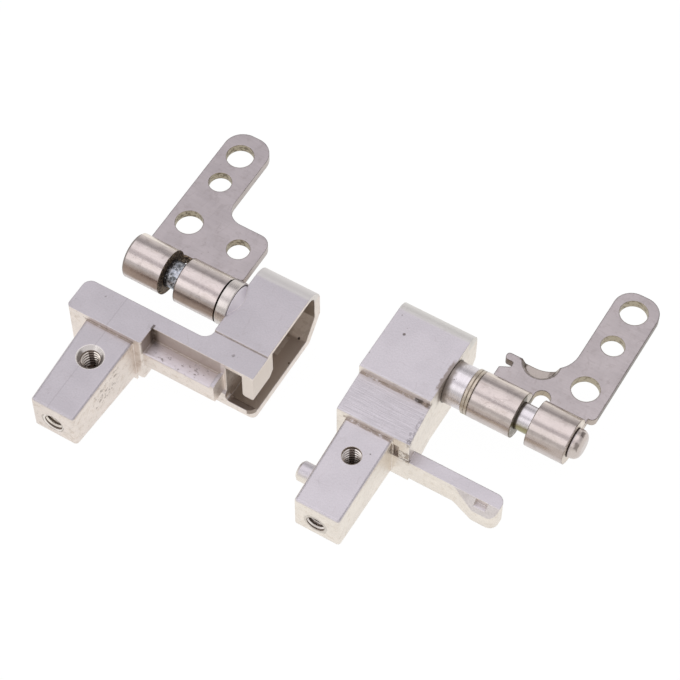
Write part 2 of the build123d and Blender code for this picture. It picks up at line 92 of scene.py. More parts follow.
@dataclass
class Bench:
    """Adds nodes to one node tree and wires them."""

    tree: bpy.types.NodeTree

    def add(self, kind: str, **settings: object) -> bpy.types.Node:
        """Add a node.

        Args:
            kind: The node's type name.
            settings: Properties to set on it.

        Returns:
            The node.
        """
        node = self.tree.nodes.new(kind)
        for name, value in settings.items():
            setattr(node, name, value)
        return node

    def feed(self, socket: Socket, value: Feed) -> None:
        """Link a socket to another, or set its own value."""
        if isinstance(value, bpy.types.NodeSocket):
            self.tree.links.new(value, socket)
        else:
            socket.default_value = value

    def math(self, operation: str, *values: Feed) -> Socket:
        """Run a Math node.

        Args:
            operation: Blender's name of the operation.
            values: Its inputs, in order.

        Returns:
            The result's socket.
        """
        node = self.add("ShaderNodeMath", operation=operation)
        for socket, value in zip(node.inputs, values):
            self.feed(socket, value)
        return node.outputs[0]

    def times(self, *values: Feed) -> Socket:
        """Multiply two values."""
        return self.math("MULTIPLY", *values)

    def vector(
        self, operation: str, first: Feed, second: Feed = (0.0, 0.0, 0.0), scale: Feed = 1.0,
    ) -> Socket:
        """Run a Vector Math node.

        Args:
            operation: Blender's name of the operation.
            first: First vector.
            second: Second vector, where there is one.
            scale: Scale, where the operation has one.

        Returns:
            The socket of its value where the operation gives one, or else of its vector.
        """
        node = self.add("ShaderNodeVectorMath", operation=operation)
        self.feed(node.inputs[0], first)
        self.feed(node.inputs[1], second)
        self.feed(node.inputs[3], scale)
        return node.outputs[1 if operation in ("DOT_PRODUCT", "LENGTH") else 0]

    def blend(self, amount: Feed, low: Feed, high: Feed, sort: str = "RGBA") -> Socket:
        """Mix two colours or two values.

        Args:
            amount: Share of the second one.
            low: First one.
            high: Second one.
            sort: What is mixed, RGBA or FLOAT.

        Returns:
            The mixture's socket.
        """
        node = self.add("ShaderNodeMix", data_type=sort)
        first, result = (6, 2) if sort == "RGBA" else (2, 0)
        for k, value in ((0, amount), (first, low), (first + 1, high)):
            self.feed(node.inputs[k], value)
        return node.outputs[result]

    def ease(self, value: Feed, start: Feed, end: Feed, low: Feed = 0.0, high: Feed = 1.0) -> Socket:
        """Map a range smoothly.

        Args:
            value: What is mapped.
            start: Where the range starts.
            end: Where it ends.
            low: Result at the start.
            high: Result at the end.

        Returns:
            The result's socket.
        """
        node = self.add("ShaderNodeMapRange", interpolation_type="SMOOTHSTEP")
        for socket, given in zip(node.inputs, (value, start, end, low, high)):
            self.feed(socket, given)
        return node.outputs[0]

    def noise(
        self, place: Feed, scale: Feed, detail: float = 2.0, rough: float = 0.5, sort: str = "Fac",
    ) -> Socket:
        """Add a noise texture.

        Args:
            place: Where it is read.
            scale: Bumps per millimetre.
            detail: Octaves.
            rough: Weight of the finer octaves.
            sort: Which output, the value or the colour.

        Returns:
            The output's socket.
        """
        node = self.add("ShaderNodeTexNoise")
        self.feed(node.inputs["Vector"], place)
        self.feed(node.inputs["Scale"], scale)
        node.inputs["Detail"].default_value = detail
        node.inputs["Roughness"].default_value = rough
        return node.outputs[sort]

    def place(self) -> Socket:
        """Give the surface point in millimetres of the frame."""
        point = self.add("ShaderNodeTexCoord").outputs["Object"]
        return self.vector("SCALE", point, scale=1.0 / MM)

    def upward(self) -> Socket:
        """Give the upward part of the surface's direction in the frame.

        Returns:
            The value's socket.
        """
        parts = self.add("ShaderNodeSeparateXYZ")
        self.feed(parts.inputs[0], self.add("ShaderNodeTexCoord").outputs["Normal"])
        return parts.outputs[2]

    def find(self, kind: str) -> bpy.types.Node:
        """Give the first node of a type, such as the shader that a new tree holds."""
        return next(n for n in self.tree.nodes if n.type == kind)

    def effect(self, kind: Effect, **values: Feed) -> bpy.types.Node:
        """Place a shared effect.

        Args:
            kind: Which effect.
            values: Its inputs by name.

        Returns:
            The group node.
        """
        node = self.add("ShaderNodeGroup", node_tree=bpy.data.node_groups[kind.value])
        for name, value in values.items():
            self.feed(node.inputs[name], value)
        return node


@dataclass
class EffectShop:
    """Builds the shared effects, each once."""

    def start(
        self, kind: Effect, vectors: tuple[str, ...], values: tuple[str, ...], outputs: tuple[str, ...],
    ) -> tuple[Bench, Sockets, Sockets]:
        """Begin a node group with its sockets.

        Args:
            kind: Which effect.
            vectors: Names of the vector inputs.
            values: Names of the other inputs.
            outputs: Names of the outputs, a normal where so named and a value elsewhere.

        Returns:
            A bench for the group, its inputs and its outputs by name.
        """
        tree = bpy.data.node_groups.new(kind.value, "ShaderNodeTree")
        for name in vectors + values:
            sort = "Vector" if name in vectors else "Float"
            tree.interface.new_socket(name=name, in_out="INPUT", socket_type=f"NodeSocket{sort}")
        for name in outputs:
            sort = "Vector" if name == "Normal" else "Float"
            tree.interface.new_socket(name=name, in_out="OUTPUT", socket_type=f"NodeSocket{sort}")
        bench = Bench(tree)
        source = bench.add("NodeGroupInput")
        sink = bench.add("NodeGroupOutput")
        return bench, {n: source.outputs[n] for n in vectors + values}, {n: sink.inputs[n] for n in outputs}

    def ragged(self, bench: Bench, place: Socket, amount: Socket) -> Socket:
        """Shift a place by noise, so that a patch gets an uneven outline.

        Args:
            bench: Where the nodes go.
            place: Place in millimetres.
            amount: Largest shift in millimetres.

        Returns:
            The shifted place.
        """
        swing = bench.noise(place, 1.7, 3.0, sort="Color")
        shift = bench.vector("SUBTRACT", swing, (0.5, 0.5, 0.5))
        reach = bench.times(amount, 3.0)
        return bench.vector("ADD", place, bench.vector("SCALE", shift, scale=reach))

    def patch(self) -> None:
        """Make the box-shaped patch."""
        vectors = ("Place", "Low", "High", "Soft")
        bench, got, out = self.start(Effect.PATCH, vectors, ("Ragged",), ("Mask",))
        place = self.ragged(bench, got["Place"], got["Ragged"])
        sides = []
        for edge, inner in (("Low", "SUBTRACT"), ("High", "ADD")):
            ramp = bench.add("ShaderNodeMapRange", data_type="FLOAT_VECTOR", interpolation_type="SMOOTHSTEP")
            bench.feed(ramp.inputs[6], place)
            outer = bench.vector(inner, got[edge], got["Soft"])
            bench.feed(ramp.inputs[7], outer if edge == "Low" else got[edge])
            bench.feed(ramp.inputs[8], got[edge] if edge == "Low" else outer)
            bench.feed(ramp.inputs[9], (0.0, 0.0, 0.0) if edge == "Low" else (1.0, 1.0, 1.0))
            bench.feed(ramp.inputs[10], (1.0, 1.0, 1.0) if edge == "Low" else (0.0, 0.0, 0.0))
            sides.append(ramp.outputs[1])
        parts = bench.add("ShaderNodeSeparateXYZ")
        bench.feed(parts.inputs[0], bench.vector("MULTIPLY", *sides))
        flat = bench.times(parts.outputs[0], parts.outputs[1])
        bench.feed(out["Mask"], bench.times(flat, parts.outputs[2]))

    def ring(self) -> None:
        """Make the ring-shaped patch around an axis."""
        values = ("Inner", "Outer", "Half", "Soft", "Ragged")
        bench, got, out = self.start(Effect.RING, ("Place", "Centre", "Way"), values, ("Mask",))
        place = self.ragged(bench, got["Place"], got["Ragged"])
        arm = bench.vector("SUBTRACT", place, got["Centre"])
        along = bench.vector("DOT_PRODUCT", arm, got["Way"])
        part = bench.vector("SCALE", got["Way"], scale=along)
        rest = bench.vector("SUBTRACT", arm, part)
        radius = bench.vector("LENGTH", rest)
        inner = bench.ease(radius, bench.math("SUBTRACT", got["Inner"], got["Soft"]), got["Inner"])
        outer = bench.ease(radius, got["Outer"], bench.math("ADD", got["Outer"], got["Soft"]), 1.0, 0.0)
        reach = bench.math("ABSOLUTE", along)
        ends = bench.ease(reach, got["Half"], bench.math("ADD", got["Half"], got["Soft"]), 1.0, 0.0)
        bench.feed(out["Mask"], bench.times(bench.times(inner, outer), ends))

    def edge(self) -> None:
        """Make the edge tint: a mask along edges, for wear or for painted shade along rims, and a normal that
        rounds them.
        """
        bench, got, out = self.start(Effect.EDGE, ("Place",), ("Width",), ("Mask", "Normal"))
        soft = bench.add("ShaderNodeBevel", samples=6)
        bench.feed(soft.inputs["Radius"], bench.times(got["Width"], MM))
        plain = bench.add("ShaderNodeNewGeometry").outputs["Normal"]
        match = bench.vector("DOT_PRODUCT", soft.outputs[0], plain)
        mask = bench.ease(match, 0.995, 0.86)
        wear = bench.ease(bench.noise(got["Place"], 1.4, 4.0, 0.6), 0.3, 0.62)
        bench.feed(out["Mask"], bench.times(mask, wear))
        bench.feed(out["Normal"], soft.outputs[0])

    def specks(self) -> None:
        """Make scattered specks: small round pits in some cells of a grid."""
        values = ("Density", "Share", "Size")
        bench, got, out = self.start(Effect.SPECKS, ("Place",), values, ("Mask",))
        cells = bench.add("ShaderNodeTexVoronoi")
        shaken = self.ragged(bench, got["Place"], 0.05)
        bench.feed(cells.inputs["Vector"], shaken)
        bench.feed(cells.inputs["Scale"], got["Density"])
        pick = bench.add("ShaderNodeSeparateColor")
        bench.feed(pick.inputs[0], cells.outputs["Color"])
        chosen = bench.math("LESS_THAN", pick.outputs[0], got["Share"])
        size = bench.times(got["Size"], bench.math("ADD", pick.outputs[1], 0.4))
        dot = bench.ease(cells.outputs["Distance"], bench.times(size, 0.45), size, 1.0, 0.0)
        bench.feed(out["Mask"], bench.times(chosen, dot))

    def lines(self) -> None:
        """Make fine lines that run across the frame, as a grinder or a roll leaves them."""
        bench, got, out = self.start(Effect.LINES, ("Place",), ("Density",), ("Lines",))
        flat = bench.vector("MULTIPLY", got["Place"], (0.045, 1.0, 1.0))
        bench.feed(out["Lines"], bench.ease(bench.noise(flat, got["Density"], 3.0, 0.65), 0.25, 0.75))

    def hairs(self) -> None:
        """Make stray hairlines, as handling scratches a surface."""
        bench, got, out = self.start(Effect.HAIRS, ("Place",), ("Density",), ("Mask",))
        masks = []
        for stretch in ((1.0, 0.3, 1.0), (0.35, 1.0, 0.8)):
            flat = bench.vector("MULTIPLY", got["Place"], stretch)
            swing = bench.noise(flat, got["Density"], 1.0)
            off = bench.math("ABSOLUTE", bench.math("SUBTRACT", swing, 0.5))
            masks.append(bench.ease(off, 0.002, 0.012, 1.0, 0.0))
        part = bench.ease(bench.noise(got["Place"], 0.8, 2.0), 0.5, 0.62)
        bench.feed(out["Mask"], bench.times(bench.math("MAXIMUM", *masks), part))

    def clouds(self) -> None:
        """Make broad and fine unevenness of tone."""
        bench, got, out = self.start(Effect.CLOUDS, ("Place",), ("Density",), ("Broad", "Fine"))
        broad = bench.noise(got["Place"], got["Density"], 3.0)
        bench.feed(out["Broad"], bench.ease(broad, 0.3, 0.7))
        fine = bench.times(got["Density"], 18.0)
        bench.feed(out["Fine"], bench.noise(got["Place"], fine, 3.0, 0.6))

    def build(self) -> None:
        """Make every effect."""
        for make in (self.patch, self.ring, self.edge, self.specks, self.lines, self.hairs, self.clouds):
            make()


@dataclass(frozen=True)
class Patch:
    """A box of the frame, in millimetres, with a soft and uneven outline."""

    low: Triple
    high: Triple
    soft: float | Triple = 0.1
    ragged: float = 0.05

    def mask(self, bench: Bench, place: Socket) -> Socket:
        """Give 1 inside the box and 0 outside.

        Args:
            bench: Where the nodes go.
            place: Surface point in millimetres.

        Returns:
            The mask's socket.
        """
        soft = self.soft if isinstance(self.soft, tuple) else (self.soft, self.soft, self.soft)
        node = bench.effect(
            Effect.PATCH, Place=place, Low=self.low, High=self.high, Soft=soft, Ragged=self.ragged,
        )
        return node.outputs["Mask"]


@dataclass(frozen=True)
class Ring:
    """A ring or disc about an axis, in millimetres, with a soft and uneven outline."""

    centre: Triple
    way: Way
    inner: float
    outer: float
    half: float
    soft: float = 0.05
    ragged: float = 0.0

    def mask(self, bench: Bench, place: Socket) -> Socket:
        """Give 1 inside the ring and 0 outside.

        Args:
            bench: Where the nodes go.
            place: Surface point in millimetres.

        Returns:
            The mask's socket.
        """
        node = bench.effect(
            Effect.RING, Place=place, Centre=self.centre, Way=self.way.value, Inner=self.inner,
            Outer=self.outer, Half=self.half, Soft=self.soft, Ragged=self.ragged,
        )
        return node.outputs["Mask"]


@dataclass(frozen=True)
class Mark:
    """Dirt, grease, wear or another tone on a part of a surface."""

    shape: Patch | Ring
    colour: str
    strength: float = 1.0
    cover: float = 1.0
    grain: float = 3.0
    roughness: float = 0.5
    dent: float = 0.0


@dataclass
class Surface:
    """Sockets that describe a surface before it reaches the shader."""

    colour: Socket
    roughness: Socket
    height: Socket


@dataclass(frozen=True)
class Finish:
    """A metal finish: its tone, its unevenness and the marks on it."""

    name: str
    colour: str
    roughness: float = 0.35
    edge_colour: str = "EFEBE6"
    edge_width: float = 0.12
    edge_strength: float = 0.6
    marks: tuple[Mark, ...] = ()

    def surface(self, bench: Bench, place: Socket) -> Surface:
        """Make the finish's own tone.

        Args:
            bench: Where the nodes go.
            place: Surface point in millimetres.

        Returns:
            The surface's sockets.
        """
        tone = bench.effect(Effect.CLOUDS, Place=place, Density=0.35)
        shade = bench.ease(tone.outputs["Broad"], 0.0, 1.0, 0.93, 1.04)
        colour = bench.vector("SCALE", paint(self.colour)[:3], scale=shade)
        rough = bench.ease(tone.outputs["Fine"], 0.3, 0.7, self.roughness - 0.05, self.roughness + 0.06)
        height = bench.times(tone.outputs["Fine"], 0.002)
        return Surface(colour, rough, height)

    def lay(self, bench: Bench, place: Socket, under: Surface, mark: Mark) -> Surface:
        """Lay one mark over a surface.

        Args:
            bench: Where the nodes go.
            place: Surface point in millimetres.
            under: The surface so far.
            mark: What is laid over it.

        Returns:
            The marked surface.
        """
        mask = mark.shape.mask(bench, place)
        if mark.cover < 1.0:
            flecks = bench.noise(place, mark.grain, 4.0, 0.65)
            limit = 0.72 - 0.44 * mark.cover
            mask = bench.times(mask, bench.ease(flecks, limit - 0.05, limit + 0.05))
        amount = bench.times(mask, mark.strength)
        height = under.height
        if mark.dent:
            height = bench.math("SUBTRACT", height, bench.times(mask, mark.dent))
        return Surface(
            bench.blend(amount, under.colour, paint(mark.colour)),
            bench.blend(amount, under.roughness, mark.roughness, "FLOAT"),
            height,
        )

    def material(self) -> bpy.types.Material:
        """Build the material.

        Returns:
            The material, ready to assign.
        """
        made = bpy.data.materials.new(self.name)
        made.use_nodes = True
        bench = Bench(made.node_tree)
        shader = bench.find("BSDF_PRINCIPLED")
        place = bench.place()
        skin = self.surface(bench, place)
        edge = bench.effect(Effect.EDGE, Place=place, Width=self.edge_width)
        # Edges take the edge colour: a light one for wear, a dark one for painted shade along rims and in the
        # gaps between parts
        edge_wear_and_shade = bench.times(edge.outputs["Mask"], self.edge_strength)
        skin.colour = bench.blend(edge_wear_and_shade, skin.colour, paint(self.edge_colour))
        for mark in self.marks:
            skin = self.lay(bench, place, skin, mark)
        bump = bench.add("ShaderNodeBump")
        bump.inputs["Strength"].default_value = 1.0
        bump.inputs["Distance"].default_value = MM
        bench.feed(bump.inputs["Height"], skin.height)
        bench.feed(bump.inputs["Normal"], edge.outputs["Normal"])
        bench.feed(shader.inputs["Base Color"], skin.colour)
        bench.feed(shader.inputs["Roughness"], skin.roughness)
        bench.feed(shader.inputs["Normal"], bump.outputs[0])
        shader.inputs["Metallic"].default_value = 1.0
        return made


@dataclass(frozen=True)
class CastFinish(Finish):
    """Tumbled zinc casting with pits and a ground area, toned by facing: a cool colour on faces that point up
    and a warm wall colour on walls, which is painted light.
    """

    wall: str = "E3DFD6"
    stain: str = "BFAE9C"
    pits: float = 0.1
    ground: Patch | None = None

    def surface(self, bench: Bench, place: Socket) -> Surface:
        """Make the cast skin.

        Args:
            bench: Where the nodes go.
            place: Surface point in millimetres.

        Returns:
            The surface's sockets.
        """
        tone = bench.effect(Effect.CLOUDS, Place=place, Density=0.3)
        # Painted light: faces that point up take the cool top colour and walls the warm wall colour, as the
        # light falls on them
        top_light_share = bench.ease(bench.upward(), 0.35, 0.85)
        mottle = bench.ease(bench.noise(place, 1.3, 5.0, 0.7), 0.48, 0.72, 0.0, 0.5)
        wall = bench.blend(mottle, paint(self.wall), paint(self.stain))
        plain = bench.blend(top_light_share, wall, paint(self.colour))
        shade = bench.ease(tone.outputs["Broad"], 0.0, 1.0, 0.97, 1.02)
        grain = bench.ease(tone.outputs["Fine"], 0.3, 0.7, 0.93, 1.05)
        colour = bench.vector("SCALE", plain, scale=bench.times(shade, grain))
        hairs = bench.effect(Effect.HAIRS, Place=place, Density=0.55).outputs["Mask"]
        colour = bench.blend(bench.times(hairs, 0.12), colour, paint("8C827C"))
        specks = bench.effect(Effect.SPECKS, Place=place, Density=1.6, Share=self.pits, Size=0.15)
        dots = specks.outputs["Mask"]
        colour = bench.blend(bench.times(dots, 0.5), colour, paint("6E655E"))
        rough = bench.ease(tone.outputs["Fine"], 0.3, 0.7, self.roughness - 0.05, self.roughness + 0.08)
        height = bench.times(tone.outputs["Fine"], 0.014)
        height = bench.math("SUBTRACT", height, bench.times(dots, 0.02))
        if self.ground is None:
            return Surface(colour, rough, height)
        area = self.ground.mask(bench, place)
        lines = bench.effect(Effect.LINES, Place=place, Density=7.0).outputs["Lines"]
        streak = bench.ease(lines, 0.0, 1.0, 0.91, 1.06)
        colour = bench.blend(area, colour, bench.vector("SCALE", colour, scale=streak))
        height = bench.math("ADD", height, bench.times(bench.times(lines, area), 0.012))
        return Surface(colour, rough, height)


@dataclass(frozen=True)
class SheetFinish(Finish):
    """Plated sheet: satin flats, sheared sides toned darker by facing as painted shade, and barrels that the
    roll has polished.
    """

    side: str = "A79C92"
    barrel: str = "C9C1BC"
    smear: str = "8F7D70"
    axis: Triple = (0.0, 0.0, 0.0)
    barrel_radius: float = 2.53
    barrel_half: float = 6.0

    def surface(self, bench: Bench, place: Socket) -> Surface:
        """Make the plated skin.

        Args:
            bench: Where the nodes go.
            place: Surface point in millimetres.

        Returns:
            The surface's sockets.
        """
        tone = bench.effect(Effect.CLOUDS, Place=place, Density=0.4)
        lines = bench.effect(Effect.LINES, Place=place, Density=5.0).outputs["Lines"]
        # Painted shade: the sheet's sides take the darker side colour by facing
        flat = bench.ease(bench.math("ABSOLUTE", bench.upward()), 0.4, 0.8)
        plain = bench.blend(flat, paint(self.side), paint(self.colour))
        barrels = Ring(self.axis, Way.ACROSS, 0.0, self.barrel_radius + 0.06, self.barrel_half, 0.06)
        rolled = barrels.mask(bench, place)
        drawn = bench.vector("MULTIPLY", place, (0.35, 1.2, 1.2))
        smear = bench.noise(drawn, 1.4, 4.0, 0.65)
        roll = bench.blend(bench.ease(smear, 0.5, 0.8, 0.0, 0.3), paint(self.barrel), paint(self.smear))
        plain = bench.blend(rolled, plain, roll)
        shade = bench.ease(tone.outputs["Broad"], 0.0, 1.0, 0.95, 1.03)
        streak = bench.ease(lines, 0.0, 1.0, 0.97, 1.02)
        colour = bench.vector("SCALE", plain, scale=bench.times(shade, streak))
        blotch = bench.ease(bench.noise(place, 1.1, 5.0, 0.7), 0.5, 0.68, 0.0, 0.3)
        colour = bench.blend(blotch, colour, paint("948A88"))
        dots = bench.effect(Effect.SPECKS, Place=place, Density=2.0, Share=0.2, Size=0.12).outputs["Mask"]
        colour = bench.blend(bench.times(dots, 0.5), colour, paint("6B6460"))
        hairs = bench.effect(Effect.HAIRS, Place=place, Density=0.45).outputs["Mask"]
        colour = bench.blend(bench.times(hairs, 0.18), colour, paint("7D7470"))
        rough = bench.blend(rolled, self.roughness, 0.17, "FLOAT")
        rough = bench.math("ADD", rough, bench.ease(tone.outputs["Fine"], 0.3, 0.7, -0.04, 0.05))
        height = bench.times(tone.outputs["Fine"], 0.004)
        height = bench.math("ADD", height, bench.times(lines, 0.0015))
        return Surface(colour, rough, height)


@dataclass(frozen=True)
class TurnedFinish(Finish):
    """Turned or ground steel with fine rings around its axis."""

    def surface(self, bench: Bench, place: Socket) -> Surface:
        """Make the turned skin.

        Args:
            bench: Where the nodes go.
            place: Surface point in millimetres.

        Returns:
            The surface's sockets.
        """
        tone = bench.effect(Effect.CLOUDS, Place=place, Density=0.6)
        drawn = bench.vector("MULTIPLY", place, (9.0, 0.2, 0.2))
        rings = bench.noise(drawn, 1.0, 3.0, 0.6)
        shade = bench.ease(rings, 0.3, 0.7, 0.93, 1.05)
        colour = bench.vector("SCALE", paint(self.colour)[:3], scale=shade)
        rough = bench.ease(tone.outputs["Fine"], 0.3, 0.7, self.roughness - 0.04, self.roughness + 0.05)
        height = bench.times(rings, 0.003)
        return Surface(colour, rough, height)


def settle(mesh: bmesh.types.BMesh, name: str, finish: bpy.types.Material) -> bpy.types.Object:
    """Turn a built mesh into an object of the scene.

    Args:
        mesh: The mesh, in metres of the frame.
        name: The object's name.
        finish: Its material.

    Returns:
        The object, at the frame's origin.
    """
    data = bpy.data.meshes.new(name)
    mesh.to_mesh(data)
    mesh.free()
    data.materials.append(finish)
    piece = bpy.data.objects.new(name, data)
    bpy.context.scene.collection.objects.link(piece)
    return piece


@dataclass
class TappedHole:
    """A tapped hole of a casting: the thread's ridge, wound on the wall of the bore."""

    name: str
    mouth: Triple
    way: Way
    start: float
    depth: float
    core: float = 1.025
    pitch: float = 0.45
    ridge: float = 0.12
    foot: float = 0.24
    turn: float = 0.0
    bite: float = 0.012
    crest: float = 0.05
    steps: int = 28

    def build(self, finish: bpy.types.Material) -> bpy.types.Object:
        """Wind the ridge down the bore.

        Args:
            finish: Material of the thread.

        Returns:
            The new piece.
        """
        mesh = bmesh.new()
        rim, top = self.core + self.bite, self.core - self.ridge
        foot, tip = self.foot * self.pitch, self.crest * self.pitch
        outline = ((rim, foot), (top, tip), (top, -tip), (rim, -foot))
        corners = [mesh.verts.new((x * MM, 0.0, -z * MM)) for x, z in outline]
        face = mesh.faces.new(corners)
        turns = (self.depth - self.start) / self.pitch - 1.0
        count = round(turns * self.steps)
        bmesh.ops.spin(
            mesh, geom=[face, *face.edges, *face.verts], cent=(0.0, 0.0, 0.0), axis=(0.0, 0.0, 1.0),
            dvec=(0.0, 0.0, -turns * self.pitch / count * MM), angle=math.tau * turns, steps=count,
            use_merge=False,
        )
        bmesh.ops.translate(mesh, verts=mesh.verts, vec=(0.0, 0.0, -(self.start + self.pitch / 2) * MM))
        tilt = Vector((0.0, 0.0, 1.0)).rotation_difference(Vector(self.way.value)).to_matrix()
        tilt = tilt @ Matrix.Rotation(math.radians(self.turn), 3, "Z")
        bmesh.ops.rotate(mesh, verts=mesh.verts, cent=(0.0, 0.0, 0.0), matrix=tilt)
        bmesh.ops.translate(mesh, verts=mesh.verts, vec=Vector(self.mouth) * MM)
        bmesh.ops.remove_doubles(mesh, verts=mesh.verts, dist=1e-8)
        bmesh.ops.recalc_face_normals(mesh, faces=mesh.faces)
        piece = settle(mesh, self.name, finish)
        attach(piece, Body.BASES.value)
        return piece


def dress(node: str, finish: Finish) -> None:
    """Give a CAD node its finish.

    Args:
        node: Name of the node.
        finish: What it is dressed in.
    """
    made = finish.material()
    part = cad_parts[node]
    for holder in part.material_slots:
        holder.material = made
    LOG.info("%s dressed in %s", node, finish.name)


@dataclass
class Hinge:
    """What both hinges share: their datum, where the shaft leaves the casting, and ways to mark places."""

    x: float
    y: float
    axis: float
    gap: float
    top_mouth: Triple
    end_mouth: Triple

    def at(self, along: float, out: float, height: float) -> Triple:
        """Turn a place on the hinge into one of the frame.

        Args:
            along: Distance from the casting's face along the shaft.
            out: Distance from the shaft axis towards the leaf's tip.
            height: Height above the table.

        Returns:
            The place in the frame.
        """
        return (self.x + along, self.y + out, height)

    def box(self, low: Triple, high: Triple, soft: float | Triple = 0.1, ragged: float = 0.05) -> Patch:
        """Give a patch between two places on the hinge."""
        return Patch(self.at(*low), self.at(*high), soft, ragged)

    def band(
        self, along: float, inner: float, outer: float, half: float, soft: float = 0.05, ragged: float = 0.0,
    ) -> Ring:
        """Give a ring around the shaft axis."""
        return Ring(self.at(along, 0.0, self.axis), Way.ACROSS, inner, outer, half, soft, ragged)

    def hole_walls(
        self, holes: tuple[Triple, ...], light: str, dark: str, strength: float, cover: float,
    ) -> tuple[Mark, ...]:
        """Mark the stained walls of the leaf's holes.

        Args:
            holes: Place along the shaft, distance from its axis and radius of each hole.
            light: Colour of the walls.
            dark: Colour of the stains.
            strength: Strength of the stains.
            cover: Share of the walls that they cover.

        Returns:
            The marks, two for each hole.
        """
        marks: list[Mark] = []
        for along, out, radius in holes:
            wall = Ring(self.at(along, out, self.axis), Way.UP, 0.0, radius + 0.02, 3.0, 0.02)
            marks += [Mark(wall, light, 0.9, roughness=0.45), Mark(wall, dark, strength, cover, 2.6)]
        return tuple(marks)

    def wind(self, finish: bpy.types.Material, *holes: TappedHole) -> None:
        """Wind the threads of the casting's holes."""
        for hole in holes:
            LOG.info("%s wound", hole.build(finish).name)


